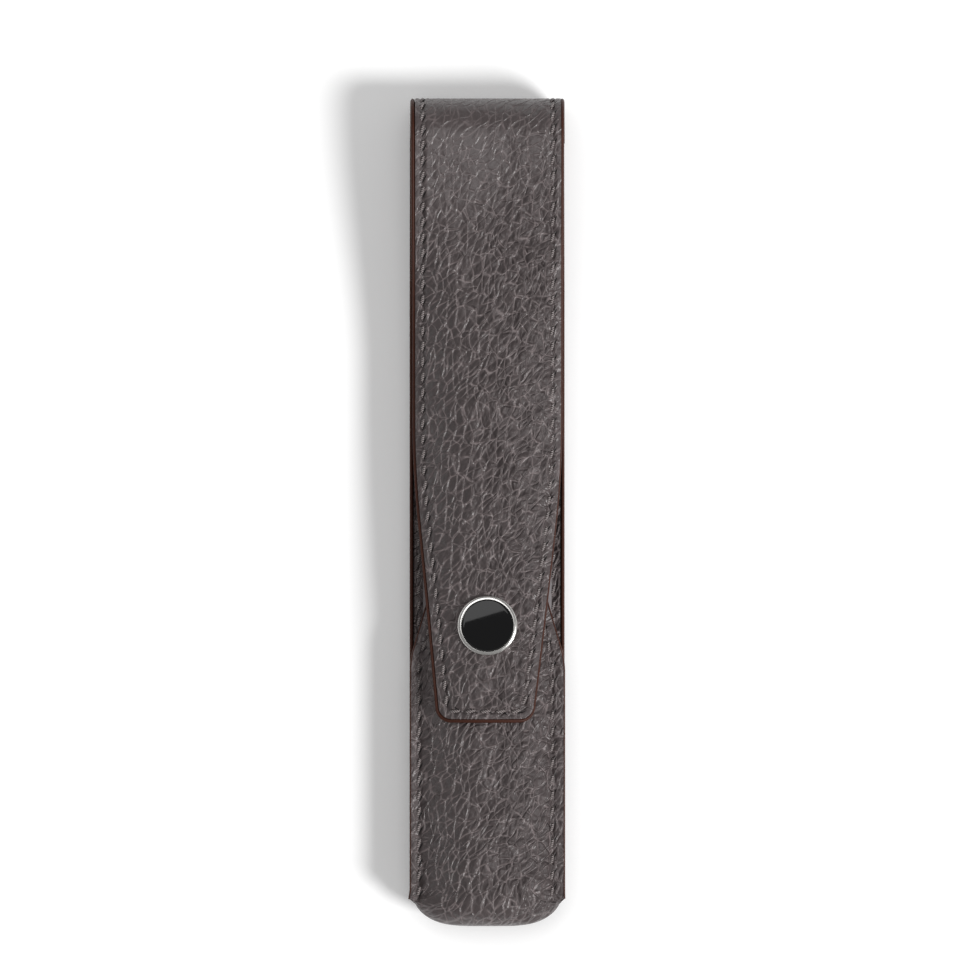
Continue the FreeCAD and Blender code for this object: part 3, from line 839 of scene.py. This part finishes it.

# %% [markdown]
# ## Sewing
# The thread is waxed polyester in the leather's grey, two plies twisted, and its wax gives each stitch
# a gloss. Its colour runs in dark and light bands along the twist: the dark bands are painted shade
# between the plies and the light ones painted glints on them. One stitch is modelled from a sphere,
# drawn long and with its ends bent down into the leather. It is then copied along each row, slanted as
# the awl's slits are. A few dozen faces are enough, as the twist is in the material.

# %% Thread
thread, tree, shader = new_material("polyester thread, waxed and twisted")
along = node(tree, "ShaderNodeAttribute", attribute_name="thread_mm", output="Vector")
lay = node(tree, "ShaderNodeMapping", {"Vector": along, "Rotation": (0, 0, math.radians(40.0)),
                                       "Scale": (0.36, 0.36, 0.36)}, vector_type="TEXTURE")
ply_relief_and_shade = node(tree, "ShaderNodeTexWave", {"Vector": lay, "Scale": 0.314, "Distortion": 0.3},
             bands_direction="X", output="Fac")
# Dark and light bands along the twist: painted shade between the plies and painted glints on them.
tone = node(tree, "ShaderNodeMix", {"Factor": ply_relief_and_shade, "A": colour("3f3837"), "B": colour("968d8c")},
            data_type="RGBA", output="Result")
twist = node(tree, "ShaderNodeBump", {"Height": ply_relief_and_shade, "Strength": 1.0, "Distance": 0.10 * MM})
tree.links.new(tone, shader.inputs["Base Color"])
tree.links.new(twist, shader.inputs["Normal"])
shader.inputs["Roughness"].default_value = 0.30
print("made", thread.name)

# %% One stitch
stitch_half, stitch_wide, stitch_tall = 1.12, 0.33, 0.30
bpy.ops.object.select_all(action="DESELECT")
bpy.ops.mesh.primitive_uv_sphere_add(segments=8, ring_count=8, radius=1.0, rotation=(0, math.pi / 2, 0))
stitch = bpy.context.object
stitch.name = "stitch"
bpy.ops.object.transform_apply(location=True, rotation=True, scale=True)
for vertex in stitch.data.vertices:
    x, y, z = vertex.co
    narrow = math.sqrt(max(1e-9, 1 - x * x))
    plump = narrow ** 0.5 / narrow
    bent = -0.3 * x ** 4
    vertex.co = Vector((stitch_half * x, stitch_wide * y * plump, stitch_tall * z * plump + bent)) * MM
layer = stitch.data.attributes.new("thread_mm", "FLOAT_VECTOR", "POINT")
layer.data.foreach_set("vector", [c / MM for vertex in stitch.data.vertices for c in vertex.co])
print("one stitch has", len(stitch.data.polygons), "faces")

# %% Rows of stitches
stitch_sink, back_sink = 0.12, 0.15
side_slant, end_slant = -16.0, 12.0

def lay_stitch(spot, forward, normal, slant_deg):
    """One more copy of the stitch, on its spot in mm, turned about the normal by the slant."""
    forward = Matrix.Rotation(math.radians(slant_deg), 3, normal) @ forward
    copy = stitch.copy()
    copy.data = stitch.data.copy()
    bpy.context.scene.collection.objects.link(copy)
    turn = Matrix((forward, normal.cross(forward), normal)).transposed()
    copy.matrix_world = Matrix.Translation(spot * MM) @ turn.to_4x4()
    return copy

def sew(row, surface, sink, face=1.0):
    """Copies of the stitch along a plan line on the surface, or under it where face is -1."""
    run, count = lengths(row), stitch_count(row)
    copies = []
    for k in range(count):
        at = (k + 0.5) * run[-1] / count
        x, y = [np.interp(at, run, row[:, c]) for c in (0, 1)]
        ahead_x, ahead_y = [np.diff(np.interp((at - 0.4, at + 0.4), run, row[:, c]))[0] for c in (0, 1)]
        normal = Vector(surface_normal(surface, np.array([x]), np.array([y]))[0]) * face
        forward = Vector((ahead_x, ahead_y, 0.0))
        forward = (forward - normal * forward.dot(normal)).normalized()
        slant = side_slant if abs(ahead_y) > abs(ahead_x) else end_slant
        wobble = 3.0 * math.sin(12.9 * k + 3.1 * row[0, 0])
        spot = Vector((x, y, float(surface(x, y)))) - normal * sink
        copies.append(lay_stitch(spot, forward, normal, slant + wobble))
    return copies

def join_rows(name, copies, body, replaced):
    """Joins the copies into one piece that sits at the origin."""
    bpy.ops.object.select_all(action="DESELECT")
    for copy in copies:
        copy.select_set(True)
    bpy.context.view_layer.objects.active = copies[0]
    bpy.ops.object.join()
    bpy.ops.object.transform_apply(location=True, rotation=True, scale=True)
    piece = bpy.context.object
    piece.name = piece.data.name = name
    finish_piece(piece, body, [replaced], [thread], angle=80.0)
    return piece

# %% Sewing the seams
join_rows("flap_stitches", sew(flap_row, flap_top, stitch_sink), "flap", "flap_thread")
copies = sew(left_tongue_row, front_top, stitch_sink) + sew(right_tongue_row, front_top, stitch_sink)
join_rows("tongue_stitches", copies, "sleeve", "tongue_thread")
seams = (("left", left_row, left_mouth_row), ("right", right_row, right_mouth_row))
for label, front_row, mouth_row in seams:
    copies = sew(front_row, front_top, stitch_sink) + sew(mouth_row, pocket_top, stitch_sink)
    x = front_row[0, 0]
    back_row = rounded([(x, ear_y), (x, fold_y - 2 * stitch_pitch)])
    copies += sew(back_row, back_height, back_sink, face=-1.0)
    join_rows(label + "_seam_stitches", copies, "sleeve", label + "_seam_thread")

# %% Stitches round the fold
copies = []
for side in (-1, 1):
    for k in range(1, fold_stitches):
        turn = math.pi * (k + 0.5) / fold_stitches
        y, z = around_fold(fold_radius - stitch_sink, turn)
        normal = Vector((0.0, math.sin(turn), -math.cos(turn)))
        forward = Vector((0.0, math.cos(turn), math.sin(turn))) * -side
        copies.append(lay_stitch(Vector((side * fold_row_x, y, z)), forward, normal, side_slant))
bend(join_rows("fold_stitches", copies, None, "fold_thread"))
bpy.data.objects.remove(stitch)

# %% [markdown]
# ## Emblem
# A turned and polished steel ring holds a glossy black disc. Both are round, so each is a profile of a
# few points that the Spin tool turns about the emblem's middle, as on a lathe. The ring has a narrow
# flat top and a rounded outer slope. The disc is plain and slightly domed, and sits a little lower than
# the ring.

# %% Steel and resin

def polished(name, tone, roughness, haze_mm, detail):
    """A finish of one tone whose polish is uneven by a soft haze; gives back its shader too."""
    material, tree, shader = new_material(name)
    shader.inputs["Base Color"].default_value = colour(tone)
    place = node(tree, "ShaderNodeTexCoord", output="Object")
    haze_scale = 1 / (haze_mm * MM)
    haze = node(tree, "ShaderNodeTexNoise", {"Vector": place, "Scale": haze_scale, "Detail": detail})
    polish = node(tree, "ShaderNodeMapRange", [haze, 0.0, 1.0, *roughness])
    tree.links.new(polish, shader.inputs["Roughness"])
    return material, shader

steel, shader = polished("stainless steel, turned and polished", "dddbd8", (0.16, 0.28), 0.6, 3.0)
shader.inputs["Metallic"].default_value = 1.0
black_resin, shader = polished("black resin, cast and polished", "0b0b0c", (0.03, 0.07), 1.5, 2.0)
shader.inputs["Specular IOR Level"].default_value = 0.32
print("made", steel.name, "and", black_resin.name)

# %% Emblem

def turned(name, profile):
    """A closed profile of (radius, height) points in mm, spun about the emblem's middle."""
    bpy.ops.object.select_all(action="DESELECT")
    bpy.ops.mesh.primitive_circle_add(vertices=len(profile), radius=1.0)
    piece = bpy.context.object
    piece.name = piece.data.name = name
    for vertex, (radius, height) in zip(piece.data.vertices, profile):
        vertex.co = Vector((radius, emblem_y, height)) * MM
    bpy.ops.object.mode_set(mode="EDIT")
    bpy.ops.mesh.select_all(action="SELECT")
    bpy.ops.mesh.spin(steps=96, angle=2 * math.pi, center=(0, emblem_y * MM, 0), axis=(0, 0, 1))
    bpy.ops.mesh.select_all(action="SELECT")
    bpy.ops.mesh.remove_doubles(threshold=0.001 * MM)
    bpy.ops.mesh.normals_make_consistent(inside=False)
    bpy.ops.object.mode_set(mode="OBJECT")
    return piece

top = emblem_high.z
seat = flap_top_z - 0.9
ring = turned("emblem_ring", [(5.95, seat), (5.95, top - 0.44), (5.92, top - 0.34), (5.86, top - 0.24),
                              (5.76, top - 0.14), (5.64, top - 0.07), (5.5, top - 0.025), (5.4, top),
                              (5.24, top), (5.2, top - 0.06), (5.2, seat)])
finish_piece(ring, "flap", ["emblem_bezel"], [steel], angle=40.0)
dome = [(r, top - 0.03 - 0.24 * (r / 5.0) ** 2) for r in (4.95, 4.5, 4.0, 3.4, 2.8, 2.1, 1.4, 0.7, 0.0)]
rim = [(0.0, seat + 0.5), (5.18, seat + 0.5), (5.18, top - 0.4), (5.12, top - 0.33)]
disc = turned("emblem_disc", rim + dome)
finish_piece(disc, "flap", ["emblem_inlay"], [black_resin], angle=40.0)

# %% [markdown]
# ## Hidden pieces
# The board in the back, the two magnets and the emblem's washer can't be seen. Their CAD shapes are
# right, so they stay and only get a finish: pressed pulp board, and nickel plate.

# %% Hidden pieces
pulp_board = plain_finish("pulp board, pressed", ("8a7a66", "9b8b76"), (0.85, 0.95), 0.6, 0.03)
nickel = plain_finish("nickel plate, tumbled", ("b9b5ae", "c6c2bb"), (0.25, 0.4), 0.5, 0.002)
nickel.node_tree.nodes["Principled BSDF"].inputs["Metallic"].default_value = 1.0
for name, material in (("back_board", pulp_board), ("keeper_magnet", nickel), ("flap_magnet", nickel),
                       ("emblem_washer", nickel)):
    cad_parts[name].data.materials.clear()
    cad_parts[name].data.materials.append(material)
    print(name, "gets", material.name)

# %% [markdown]
# ## Floor and light
# The sleeve lies on a white table. One soft key light comes from the right and a little from below in
# the picture, a softbox hangs above on the upper left, and the white room fills the shadows. The floor
# adds a little of its own light where it is seen, so that it comes out white, and it keeps the shadow
# that the sleeve throws to the left.

# %% Floor
bpy.ops.object.select_all(action="DESELECT")
bpy.ops.mesh.primitive_plane_add(size=3.0, location=(0, 0, -0.02 * MM))
floor = bpy.context.object
floor.name = "floor"
paper, tree, shader = new_material("white paper sweep, matt")
tree.nodes.remove(shader)
lit = node(tree, "ShaderNodeBsdfDiffuse", {"Color": (0.95, 0.95, 0.95, 1.0)})
glow = node(tree, "ShaderNodeEmission", {"Strength": 0.09})
dark = node(tree, "ShaderNodeEmission", {"Strength": 0.0})
shown = node(tree, "ShaderNodeLightPath", output="Is Camera Ray")
for ray in ("Is Glossy Ray", "Is Transmission Ray"):
    path = node(tree, "ShaderNodeLightPath", output=ray)
    shown = node(tree, "ShaderNodeMath", [shown, path], operation="MAXIMUM")
extra = node(tree, "ShaderNodeMixShader", [shown, dark, glow])
total = node(tree, "ShaderNodeAddShader", [lit, extra])
tree.links.new(total, tree.nodes["Material Output"].inputs["Surface"])
floor.data.materials.append(paper)
print("floor is", paper.name)

# %% Light
key = bpy.data.objects.new("key", bpy.data.lights.new("key", "SUN"))
bpy.context.scene.collection.objects.link(key)
key.data.energy = 2.75
key.data.angle = math.radians(18.0)
key.rotation_euler = Vector((-1.03, 0.52, -1.0)).to_track_quat("-Z", "Y").to_euler()

softbox = bpy.data.objects.new("softbox", bpy.data.lights.new("softbox", "AREA"))
bpy.context.scene.collection.objects.link(softbox)
softbox.data.shape = "RECTANGLE"
softbox.data.size, softbox.data.size_y = 0.86, 0.71
softbox.data.energy = 4.4
softbox.location = (-0.134, 0.386, 1.2)
softbox.rotation_euler = (0.0, 0.0, math.radians(17.0))
softbox.visible_camera = False

world = bpy.data.worlds.new("white room")
bpy.context.scene.world = world
world.use_nodes = True
room = world.node_tree.nodes["Background"]
room.inputs["Color"].default_value = (1.0, 1.0, 1.0, 1.0)
room.inputs["Strength"].default_value = 0.28
bpy.context.scene.view_settings.view_transform = "Standard"
print("key light, softbox and room set")
